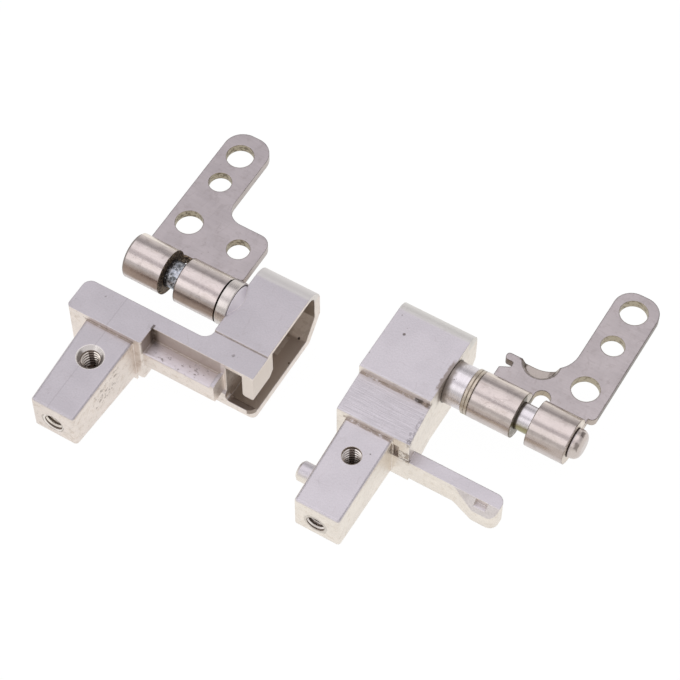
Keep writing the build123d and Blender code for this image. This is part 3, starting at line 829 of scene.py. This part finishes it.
@dataclass
class LeftHinge(Hinge):
    """The hinge with the cable cup."""

    x: float = -11.76
    y: float = -1.75
    axis: float = 6.95
    gap: float = -7.225
    top_mouth: Triple = (-9.53, -12.97, 7.0)
    end_mouth: Triple = (-9.35, -20.2, 4.5)

    def casting(self) -> CastFinish:
        """Give the casting's finish."""
        top, end = self.at(*self.top_mouth), self.at(*self.end_mouth)
        sink = self.at(-9.48, -20.2, 4.33)
        marks = (
            # Cup: painted shade inside, darker towards its closed end and on the low lip under the bar, with
            # a lighter stripe across its floor, a lighter patch on its back wall, and the tongue in front of
            # it kept in the wall tone
            Mark(self.box((3.15, -6.74, 0.95), (6.35, 5.0, 7.42), (0.05, 0.03, 0.08)), "BDB0A3", 0.9),
            Mark(self.box((3.0, -7.0, 0.9), (4.2, 5.0, 7.2), (0.6, 0.1, 0.3), 0.1),
                 "7C6D60", 0.3, roughness=0.6),
            Mark(self.box((3.15, -7.5, 0.95), (6.35, -6.7, 1.7), (0.1, 0.03, 0.05)), "8F8074", 0.9),
            Mark(self.box((4.2, 0.3, 0.9), (4.6, 2.6, 1.1), (0.12, 0.2, 0.1), 0.04), "E6DED6", 0.6, 0.8, 2.0),
            Mark(self.box((4.3, 3.3, 1.4), (6.2, 5.0, 3.6), (0.4, 0.2, 0.4), 0.2), "D8CEC4", 0.5, 0.6, 1.4),
            Mark(self.box((5.0, -7.3, 3.4), (6.6, -3.35, 7.3), (0.02, 0.05, 0.15)), "E2D8CF", 0.9),
            Mark(Ring(self.at(5.52, 3.08, 1.0), Way.UP, 0.0, 0.1, 0.5, 0.08), "2A221C", 0.9),
            Mark(Ring(self.at(6.2, -0.05, 1.0), Way.UP, 0.0, 0.07, 0.3, 0.08), "453A32", 0.75),
            # Shelf: bright floor with a few specks, a darker wall behind it, a greyer end wall at its left
            # end and painted shade in the back corner there
            Mark(self.box((-5.7, -9.05, 5.3), (2.3, -7.25, 5.65), (0.2, 0.1, 0.1)),
                 "D2CACE", 0.85, roughness=0.35),
            Mark(self.box((-4.4, -8.9, 5.3), (1.0, -7.5, 5.65), (0.8, 0.3, 0.1), 0.2),
                 "857B75", 0.6, 0.21, 2.8, 0.6, 0.02),
            Mark(self.box((-5.8, -7.3, 5.6), (2.4, -7.0, 7.55), (0.2, 0.1, 0.15), 0.03), "BEB2A7", 0.8),
            Mark(self.box((-5.8, -9.2, 5.6), (-5.5, -7.1, 7.5), (0.1, 0.4, 0.2), 0.05), "A89C92", 0.7),
            Mark(self.box((-5.9, -7.5, 5.6), (-5.4, -7.0, 7.6), (0.6, 0.3, 0.2), 0.06),
                 "65564A", 0.65, 0.7, 1.6, 0.6),
            Mark(self.box((-5.8, -7.3, 7.2), (-5.62, -6.75, 7.9), 0.06, 0.03),
                 "54483E", 0.7, 0.8, 3.0, 0.6, 0.05),
            # Shaft seat, brightened to the flat top's tone as painted light, and a painted highlight along
            # the back top edge behind the collar
            Mark(self.box((-0.1, -2.7, 8.03), (0.8, 2.7, 9.7), (0.02, 0.02, 0.02), 0.0), "F2EDF4", 0.95),
            Mark(self.box((-0.1, 4.0, 6.6), (6.5, 6.1, 8.1), (0.1, 0.4, 0.5), 0.03), "E4E1DE", 0.75),
            # Post: sinking with painted shade at its left and right sides, bores, a painted light crescent at
            # the end hole's mouth, scratched wall, parting line
            Mark(Ring(top, Way.UP, 1.0, 1.5, 0.6, 0.04), "DAD5D1", 0.9, roughness=0.25),
            Mark(self.box((-10.9, -14.1, 6.5), (-10.35, -12.9, 6.88), (0.15, 0.3, 0.06)), "655A52", 0.7),
            Mark(self.box((-8.6, -13.0, 6.5), (-8.1, -12.0, 6.88), (0.15, 0.3, 0.06)), "5F564F", 0.7),
            Mark(Ring(top, Way.UP, 0.0, 1.06, 6.0, 0.02), "9A8B7E", 0.9, roughness=0.4),
            Mark(Ring(sink, Way.FRONT, 0.9, 1.18, 0.15, 0.12, 0.06), "F4EFEA", 0.4, roughness=0.3),
            Mark(Ring(sink, Way.FRONT, 1.24, 1.32, 0.15, 0.07, 0.1), "968C84", 0.6, 0.45, 1.1, 0.3, 0.02),
            Mark(Ring(end, Way.FRONT, 0.0, 1.06, 6.0, 0.02), "8A7D72", 0.9, roughness=0.4),
            Mark(self.box((-6.9, -16.4, 4.0), (-6.5, -12.8, 6.3), (0.1, 0.9, 0.6), 0.3),
                 "84766A", 0.6, 0.35, 2.4),
            Mark(self.box((-12.6, -9.5, 6.9), (-6.7, -9.3, 7.2), (0.1, 0.06, 0.06), 0.04),
                 "A8988A", 0.6, 0.75, 1.6),
            Mark(self.box((-9.95, -20.2, 6.9), (-9.88, -5.4, 7.9), (0.05, 0.3, 0.1), 0.03), "8C8588", 0.2),
            Mark(self.box((-14.9, -9.5, 7.2), (-12.4, -9.1, 7.9), 0.15, 0.1), "6E635A", 0.5, 0.25, 3.0),
            Mark(Ring(self.at(3.18, -5.7, 7.75), Way.UP, 0.0, 0.08, 0.1, 0.14, 0.08),
                 "6A625C", 0.45, dent=0.03),
            Mark(self.box((0.1, -4.28, 7.7), (6.3, -4.2, 7.86), (0.1, 0.05, 0.03), 0.03),
                 "8A7F78", 0.65, 0.8, 1.4),
        )
        # Painted light: the top colour and the wall colour are set by facing
        return CastFinish(
            name="left_cast_zinc", colour="C3BEC3", wall="EBE1D9", roughness=0.42, pits=0.05, marks=marks,
        )

    def leaf(self) -> SheetFinish:
        """Give the leaf's finish."""
        row, groove = -10.04, self.band(self.gap, 1.3, 2.7, 0.96, 0.03, 0.03)
        holes = ((row, 16.58, 1.5), (row, 12.57, 1.25), (row, 6.44, 1.5), (-3.73, 6.15, 1.25))
        marks = self.hole_walls(holes, "A89E88", "5F5443", 0.7, 0.45) + (
            # Painted shade: a near-black line at the joint of the barrel and the collar
            Mark(self.band(-1.35, 1.4, 2.7, 0.07, 0.03), "1E1915", 0.95),
            Mark(self.band(-12.7, 0.0, 2.7, 0.2, 0.06, 0.04), "6A625C", 0.75, 0.8, 2.0),
            # Painted reflection: a brownish band along the front of the barrels
            Mark(self.box((-12.9, -2.8, 6.9), (-1.3, -1.95, 8.25), (0.2, 0.1, 0.3), 0.06),
                 "7A6450", 0.45, 0.9, 1.2, 0.25),
            # Dark brown flecks on the barrels' lower front: partly real specks, partly a painted reflection
            # of the shaded table
            Mark(self.box((-12.4, -2.8, 5.4), (-1.8, -2.1, 6.3), (0.5, 0.3, 0.6), 0.3),
                 "5A4C40", 0.6, 0.36, 4.5, 0.45),
            # Painted reflection: a light cream band along the back top of the barrels
            Mark(self.box((-12.9, 1.4, 7.2), (-1.3, 2.7, 9.0), (0.1, 0.25, 0.2), 0.03),
                 "F0E6DB", 0.85, roughness=0.3),
            Mark(self.band(self.gap, 1.3, 2.7, 0.98, 0.03, 0.03), "43372D", 0.95, 0.85, 4.0, 0.75, -0.03),
            Mark(groove, "97856F", 0.8, 0.42, 4.2, 0.6),
            Mark(groove, "C9BCA8", 0.75, 0.22, 5.0, 0.5),
        )
        # Painted shade: the side colour and the dark edge colour darken the sheet's sides and rims
        return SheetFinish(
            name="left_plated_sheet", colour="B6AEB0", roughness=0.34, axis=self.at(-6.9, 0.0, self.axis),
            barrel="C8BEBB", barrel_half=6.0, side="B4AAA5",
            edge_colour="5A5049", edge_width=0.16, edge_strength=0.85, marks=marks,
        )

    def dress(self) -> None:
        """Dress the hinge's nodes and thread its holes."""
        dress("left_base", self.casting())
        dress("left_leaf", self.leaf())
        marks = (
            Mark(self.band(self.gap, 0.0, 1.6, 0.9, 0.1, 0.3), "45443F", 0.75, 0.5, 2.2, 0.6),
            Mark(self.band(-8.15, 0.0, 1.6, 0.3, 0.25, 0.15), "2E2721", 0.9, roughness=0.7),
            Mark(self.box((-8.2, -1.6, 5.3), (-6.2, 0.3, 6.0), (0.1, 0.3, 0.3), 0.1),
                 "5A5040", 0.8, 0.8, 2.0),
            # Painted highlight: patchy light on the top of the shaft in the gap
            Mark(self.box((-7.9, -1.4, 7.4), (-6.3, 0.6, 8.6), (0.2, 0.4, 0.3), 0.1),
                 "E4E5EC", 0.55, 0.4, 3.8, 0.3),
        )
        dress("left_shaft", TurnedFinish("left_turned_steel", "A4A9B2", 0.28, marks=marks))
        marks = (
            # Painted shade: near-black lines at both ends of the collar, where it meets the seat and the
            # barrel
            Mark(self.band(0.0, 0.0, 2.4, 0.03, 0.03), "1E1915", 0.95),
            Mark(self.band(-1.3, 0.0, 3.0, 0.06, 0.04), "1E1915", 0.95),
            Mark(self.box((-1.4, -2.7, 4.0), (0.1, -0.4, 5.2), 0.4, 0.1), "6F6052", 0.7, 0.75, 2.5),
        )
        dress("left_collar", TurnedFinish("left_ground_steel", "CFC8C4", 0.25, marks=marks))
        # Painted shade in the top hole: the thread darkens further down, and a dark strip runs down its far
        # wall
        marks = (
            Mark(self.box((-10.22, -12.32, 3.0), (-9.8, -11.9, 6.5), (0.06, 0.06, 0.1), 0.02),
                 "5C4B41", 0.85),
            Mark(self.box((-11.0, -14.5, 2.5), (-8.0, -11.5, 4.2), (0.1, 0.1, 1.2)), "3A2F29", 0.5),
        )
        thread = Finish("left_thread", "E6DED4", 0.25, edge_width=0.04, marks=marks).material()
        self.wind(
            thread,
            TappedHole("left_top_thread", self.at(*self.top_mouth), Way.UP, 0.3, 3.6),
            TappedHole(
                "left_end_thread", self.at(*self.end_mouth), Way.FRONT, 0.0, 4.6,
                ridge=0.17, foot=0.4, turn=150.0,
            ),
        )


@dataclass
class RightHinge(Hinge):
    """The hinge with the arm and the peg."""

    x: float = 11.4
    y: float = 2.55
    axis: float = 5.5
    gap: float = 8.785
    top_mouth: Triple = (-4.13, -13.15, 6.2)
    end_mouth: Triple = (-4.0, -20.4, 3.5)

    def casting(self) -> CastFinish:
        """Give the casting's finish."""
        top, end = self.at(*self.top_mouth), self.at(*self.end_mouth)
        flash = self.box((-0.7, -9.75, 3.6), (0.5, -9.4, 5.0), (0.06, 0.1, 0.3), 0.12)
        marks = (
            # Foot of the block, with dirt towards its right end
            Mark(self.box((-8.1, -4.8, 6.95), (-0.3, -4.62, 7.12), (0.1, 0.06, 0.06), 0.05),
                 "9C8A78", 0.6, 0.7, 1.5),
            Mark(self.box((-1.7, -4.75, 6.95), (-0.9, -4.4, 7.3), 0.12, 0.12), "4A3F36", 0.7, 0.7, 3.0),
            Mark(self.box((-0.5, -4.8, 6.8), (0.1, -4.3, 7.3), 0.15, 0.15), "85766A", 0.6, 0.7, 2.0),
            # Worn right rim of the step, and the foot of its front
            Mark(self.box((-0.15, -9.6, 6.7), (0.6, -5.6, 7.1), (0.1, 0.3, 0.15), 0.2),
                 "8A858C", 0.35, 0.4, 2.2, 0.4, 0.02),
            Mark(self.box((0.15, -9.8, 6.3), (0.7, -9.1, 7.1), 0.1, 0.15),
                 "6C6569", 0.5, 0.5, 2.0, 0.5, 0.04),
            Mark(self.box((-7.2, -9.85, 6.1), (-1.4, -9.62, 6.4), (0.1, 0.07, 0.07), 0.06),
                 "9A897A", 0.6, 0.7, 1.6),
            Mark(self.box((-1.45, -9.7, 3.6), (-0.75, -9.1, 5.7), 0.05), "BDB0A4", 0.8, roughness=0.6),
            Mark(flash, "8F7E6E", 0.7, 0.5, 2.2, 0.5, 0.05),
            Mark(flash, "F6F1EA", 0.8, 0.4, 3.4, 0.4, -0.05),
            Mark(Ring(self.at(-6.29, 0.99, 8.0), Way.UP, 0.0, 0.1, 0.1, 0.1), "6E645D", 0.8, dent=0.04),
            # Painted highlight along the back top edge of the block
            Mark(self.box((-8.4, 3.7, 6.7), (0.1, 5.3, 8.1), (0.1, 0.4, 0.5), 0.03), "E2E0DB", 0.75),
            # Darker around the shaft's shoulder, with a dark ring where it meets the block
            Mark(self.box((-0.3, -2.7, 5.6), (0.1, 0.4, 8.05), (0.15, 0.7, 0.7), 0.2),
                 "7D6C5B", 0.65, 0.85, 1.5),
            Mark(self.band(0.0, 2.2, 2.42, 0.06, 0.08, 0.06), "41382F", 0.7, 0.9, 1.2, 0.6),
            # Bores
            Mark(Ring(top, Way.UP, 0.0, 1.06, 6.0, 0.02), "AA9C8E", 0.9, roughness=0.4),
            Mark(Ring(end, Way.FRONT, 0.0, 1.06, 6.0, 0.02), "A3978C", 0.9, roughness=0.4),
            Mark(Ring(end, Way.FRONT, 1.06, 1.3, 0.15, 0.1, 0.12), "A39A90", 0.4, 0.8, 1.5, 0.3, 0.02),
        )
        # Painted light: the top colour and the wall colour are set by facing
        return CastFinish(
            name="right_cast_zinc", colour="CDC8CD", wall="EDE5DB", stain="CFC2B2", roughness=0.4, pits=0.03,
            ground=self.box((-8.3, -9.5, 6.9), (0.5, -4.65, 7.2), 0.1), marks=marks,
        )

    def leaf(self) -> SheetFinish:
        """Give the leaf's finish."""
        row, scoop = 12.11, self.at(6.76, 6.7, self.axis)
        holes = ((row, 17.0, 1.5), (row, 12.27, 1.25), (row, 6.21, 1.5))
        marks = self.hole_walls(holes, "B5AB96", "6B5F4C", 0.6, 0.35) + (
            Mark(Ring(scoop, Way.UP, 0.0, 1.6, 0.9, 0.02), "BDB3A8", 0.6, 0.8, 1.2),
            Mark(Ring(scoop, Way.UP, 1.6, 1.98, 0.5, 0.03), "D6CCC4", 0.6, 0.9, 1.5),
            # Painted shade: a dark ring on the scoop's wall and darker patches at its left and right ends
            Mark(Ring(scoop, Way.UP, 1.98, 2.06, 0.5, 0.05), "5E534A", 0.5, 0.7, 1.5),
            Mark(self.box((4.7, 5.2, 4.7), (5.4, 6.3, 5.38), (0.2, 0.3, 0.02), 0.06),
                 "564A41", 0.7, 0.85, 1.6),
            Mark(self.box((8.0, 5.9, 4.7), (8.6, 6.6, 5.38), (0.15, 0.15, 0.02), 0.1),
                 "6A5E54", 0.5, 0.7, 2.0),
            Mark(self.box((7.8, 2.4, 4.3), (9.8, 4.1, 5.33), (0.05, 0.1, 0.04)), "CDBFA8", 0.7, 0.8, 2.0),
            Mark(self.box((13.9, 2.6, 4.3), (14.8, 3.7, 5.33), (0.05, 0.5, 0.04)), "CFC4BA", 0.8),
            Mark(self.band(self.gap, 1.3, 2.7, 0.9, 0.05, 0.05), "5B5236", 0.8, 0.8, 2.5, 0.4),
            Mark(self.band(13.96, 1.75, 2.45, 0.03, 0.04), "D9CDBF", 0.9, roughness=0.4),
            # Painted shade: a dark ring in the gap between the barrel's end and the shaft's head
            Mark(self.band(13.96, 1.3, 1.68, 0.05, 0.05), "5E5044", 0.85, roughness=0.6),
            # Painted reflection: a brownish band along the front of the barrels
            Mark(self.box((2.9, -2.8, 5.8), (14.0, -2.1, 6.6), (0.2, 0.1, 0.3), 0.05),
                 "8F7A68", 0.3, roughness=0.25),
            # Dark brown flecks on the barrels' lower front: partly real specks, partly a painted reflection
            # of the shaded table
            Mark(self.box((3.4, -2.8, 3.8), (13.5, -2.2, 4.5), (0.5, 0.3, 0.6), 0.3),
                 "8A7763", 0.4, 0.45, 3.6, 0.35),
            # Painted reflection: a light cream band along the back top of the barrels
            Mark(self.box((2.9, 1.4, 5.8), (14.0, 2.7, 7.6), (0.1, 0.25, 0.2), 0.03),
                 "EADDD0", 0.6, roughness=0.3),
        )
        # Painted shade: the side colour and the dark edge colour darken the sheet's sides and rims
        return SheetFinish(
            name="right_plated_sheet", colour="B5ADAE", roughness=0.32, axis=self.at(8.5, 0.0, self.axis),
            barrel="C6BCB8", barrel_half=5.5, side="6B5D52",
            edge_colour="4F433B", edge_width=0.18, edge_strength=0.9, marks=marks,
        )

    def dress(self) -> None:
        """Dress the hinge's nodes and thread its holes."""
        dress("right_base", self.casting())
        dress("right_leaf", self.leaf())
        grease = self.box((7.9, -1.7, 3.8), (9.7, 1.7, 5.75), (0.1, 0.5, 0.7), 0.15)
        marks = (
            Mark(self.band(0.0, 0.0, 2.6, 0.2, 0.65, 0.2), "6F6255", 0.75, roughness=0.5),
            Mark(self.band(0.0, 0.0, 2.6, 0.9, 0.3, 0.1), "5C5046", 0.6, 0.14, 2.6),
            Mark(grease, "8A8450", 0.85, 0.85, 1.2, 0.25),
            Mark(self.band(7.91, 0.0, 1.6, 0.15, 0.15, 0.05), "463C28", 0.85, roughness=0.4),
            Mark(self.band(9.66, 0.0, 1.6, 0.1, 0.12, 0.05), "5C5234", 0.8, roughness=0.4),
            # Painted shade: a dark line at the base of the head, in the gap at the barrel's end
            Mark(self.band(14.0, 0.0, 1.9, 0.06, 0.06, 0.02), "6E6053", 0.8, roughness=0.6),
            Mark(self.band(14.75, 0.0, 1.9, 0.5, 0.1), "CBC0B8", 0.85, roughness=0.3),
            Mark(self.box((14.6, 0.2, 6.6), (14.85, 0.75, 7.3), 0.16, 0.15), "453A33", 0.7, roughness=0.4),
            Mark(self.box((14.6, -1.2, 6.2), (14.85, -0.75, 7.0), 0.16, 0.15), "5A4F47", 0.6, roughness=0.4),
        )
        dress("right_shaft", TurnedFinish("right_turned_steel", "D6D1D4", 0.26, marks=marks))
        oil = self.box((2.1, -2.7, 2.8), (3.1, -0.6, 4.5), 0.4, 0.1)
        # Painted shade: the washers' dark edge colour darkens the gaps between them; the greenish patch is
        # oil
        for node in ("right_inner_washer", "right_outer_washer"):
            dress(node, TurnedFinish(
                name=f"{node}_steel", colour="BFB4A6", roughness=0.28, edge_colour="3A322A", edge_width=0.09,
                edge_strength=0.95, marks=(Mark(oil, "8A814C", 0.75),),
            ))
        # Painted shade in the top hole: the thread darkens further down, and a dark strip runs down its far
        # wall
        marks = (
            Mark(self.box((-4.78, -12.5, 2.3), (-4.34, -12.05, 6.3), (0.06, 0.06, 0.1), 0.02),
                 "5F4F46", 0.85),
            Mark(self.box((-5.6, -14.6, 1.7), (-2.6, -11.7, 3.6), (0.1, 0.1, 1.0)), "3E332C", 0.5),
        )
        thread = Finish("right_thread", "E4DDD8", 0.25, edge_width=0.04, marks=marks).material()
        self.wind(
            thread,
            TappedHole("right_top_thread", self.at(*self.top_mouth), Way.UP, 0.1, 3.6),
            TappedHole(
                "right_end_thread", self.at(*self.end_mouth), Way.FRONT, -0.04, 4.6,
                ridge=0.15, foot=0.34, turn=150.0,
            ),
        )


@dataclass
class Studio:
    """A plain white table under soft light, and the camera."""

    eye: Triple = (67.19, -114.11, 214.67)
    aim: Triple = (-2.77, 3.97, 0.0)
    roll: float = 0.004
    focal: float = 2407.0
    frame_width: float = 680.0
    front_light: Stops = (
        (0.04, 1.0), (0.12, 0.74), (0.25, 0.77), (0.45, 0.85),
        (0.72, 0.85), (0.86, 0.8), (0.93, 0.78), (1.0, 0.95),
    )
    back_light: Stops = (
        (0.03, 1.0), (0.18, 1.0), (0.35, 0.76), (0.5, 0.6),
        (0.64, 0.48), (0.75, 0.51), (0.88, 0.8), (1.0, 0.93),
    )

    def dome(self, bench: Bench, height: Socket, stops: Stops) -> Socket:
        """Shade one side of the dome by height.

        Args:
            bench: Where the nodes go.
            height: Upward part of the direction.
            stops: Height and brightness of each stop, from the horizon up.

        Returns:
            The colour's socket.
        """
        ramp = bench.add("ShaderNodeValToRGB")
        bench.feed(ramp.inputs[0], height)
        ramp.color_ramp.elements.remove(ramp.color_ramp.elements[1])
        for k, (spot, light) in enumerate(stops):
            stop = ramp.color_ramp.elements[0] if k == 0 else ramp.color_ramp.elements.new(spot)
            stop.position = spot
            stop.color = (light, light * (0.99 - 0.02 * spot), light * (0.97 + 0.05 * spot), 1.0)
        return ramp.outputs[0]

    def direct(self, bench: Bench) -> Socket:
        """Find what the camera sees, itself or in a mirror or glass.

        Args:
            bench: Where the nodes go.

        Returns:
            The mask's socket.
        """
        rays = bench.add("ShaderNodeLightPath").outputs
        either = bench.math("MAXIMUM", rays["Is Camera Ray"], rays["Is Glossy Ray"])
        return bench.math("MAXIMUM", either, rays["Is Transmission Ray"])

    def backdrop(self) -> None:
        """Make the world: white at the horizon, a bright window at the front and a darker room behind."""
        world = bpy.data.worlds.new("backdrop")
        bpy.context.scene.world = world
        world.use_nodes = True
        bench = Bench(world.node_tree)
        plain = bench.find("BACKGROUND")
        parts = bench.add("ShaderNodeSeparateXYZ")
        bench.feed(parts.inputs[0], bench.add("ShaderNodeTexCoord").outputs["Generated"])
        front = self.dome(bench, parts.outputs[2], self.front_light)
        back = self.dome(bench, parts.outputs[2], self.back_light)
        seen = bench.add("ShaderNodeBackground")
        bench.feed(seen.inputs["Color"], bench.blend(bench.ease(parts.outputs[1], -0.2, 0.2), front, back))
        plain.inputs["Color"].default_value = (0.98, 0.97, 1.0, 1.0)
        plain.inputs["Strength"].default_value = 0.6
        choice = bench.add("ShaderNodeMixShader")
        bench.feed(choice.inputs[0], self.direct(bench))
        bench.feed(choice.inputs[1], plain.outputs[0])
        bench.feed(choice.inputs[2], seen.outputs[0])
        bench.feed(bench.find("OUTPUT_WORLD").inputs["Surface"], choice.outputs[0])

    def table(self) -> None:
        """Make the white table top."""
        white = bpy.data.materials.new("table_white")
        white.use_nodes = True
        bench = Bench(white.node_tree)
        shader = bench.find("BSDF_PRINCIPLED")
        shader.inputs["Base Color"].default_value = (0.9, 0.89, 0.88, 1.0)
        shader.inputs["Roughness"].default_value = 0.9
        shader.inputs["Specular IOR Level"].default_value = 0.0
        glow = bench.add("ShaderNodeEmission")
        glow.inputs["Strength"].default_value = 1.03
        choice = bench.add("ShaderNodeMixShader")
        bench.feed(choice.inputs[0], bench.times(self.direct(bench), 0.95))
        bench.feed(choice.inputs[1], shader.outputs[0])
        bench.feed(choice.inputs[2], glow.outputs[0])
        bench.feed(bench.find("OUTPUT_MATERIAL").inputs["Surface"], choice.outputs[0])
        mesh = bmesh.new()
        bmesh.ops.create_grid(mesh, x_segments=1, y_segments=1, size=3.0)
        bmesh.ops.translate(mesh, verts=mesh.verts, vec=(0.0, 0.0, -0.02 * MM))
        top = settle(mesh, "table", white)

    def lamp(self, name: str, place: Triple, size: float, power: float) -> None:
        """Hang a soft lamp that faces the hinges.

        Args:
            name: The lamp's name.
            place: Where it hangs, in metres.
            size: Side of the lamp, in metres.
            power: Its power, in watts.
        """
        data = bpy.data.lights.new(name, "AREA")
        data.shape = "SQUARE"
        data.size = size
        data.energy = power
        lamp = bpy.data.objects.new(name, data)
        lamp.location = place
        lamp.rotation_euler = (-Vector(place)).to_track_quat("-Z", "Y").to_euler()
        lamp.visible_camera = False
        bpy.context.scene.collection.objects.link(lamp)

    def camera(self) -> None:
        """Set the camera at the photograph's place."""
        data = bpy.data.cameras.new("camera")
        data.sensor_width = 36.0
        data.lens = 36.0 * self.focal / self.frame_width
        data.clip_start = 0.01
        camera = bpy.data.objects.new("camera", data)
        eye = Vector(self.eye) * MM
        look = (Vector(self.aim) * MM - eye).to_track_quat("-Z", "Y").to_matrix().to_4x4()
        camera.matrix_world = Matrix.Translation(eye) @ look @ Matrix.Rotation(self.roll, 4, "Z")
        bpy.context.scene.collection.objects.link(camera)
        bpy.context.scene.camera = camera

    def build(self) -> None:
        """Set up the whole studio."""
        self.backdrop()
        self.table()
        self.lamp("overhead_lamp", (-0.08, 0.1, 0.45), 0.45, 0.32)
        self.lamp("left_lamp", (-0.5, -0.2, 0.35), 0.4, 0.28)
        self.lamp("front_lamp", (-0.19, -0.47, 0.4), 0.32, 0.2)
        self.camera()
        bpy.context.scene.view_settings.view_transform = "Standard"


def main() -> None:
    """Build the looks of both hinges and the studio."""
    logging.basicConfig(level=logging.INFO, format="%(name)s: %(message)s")
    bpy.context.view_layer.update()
    EffectShop().build()
    LeftHinge().dress()
    RightHinge().dress()
    Studio().build()
    LOG.info("sizes noted")


if __name__ == "__main__":
    main()
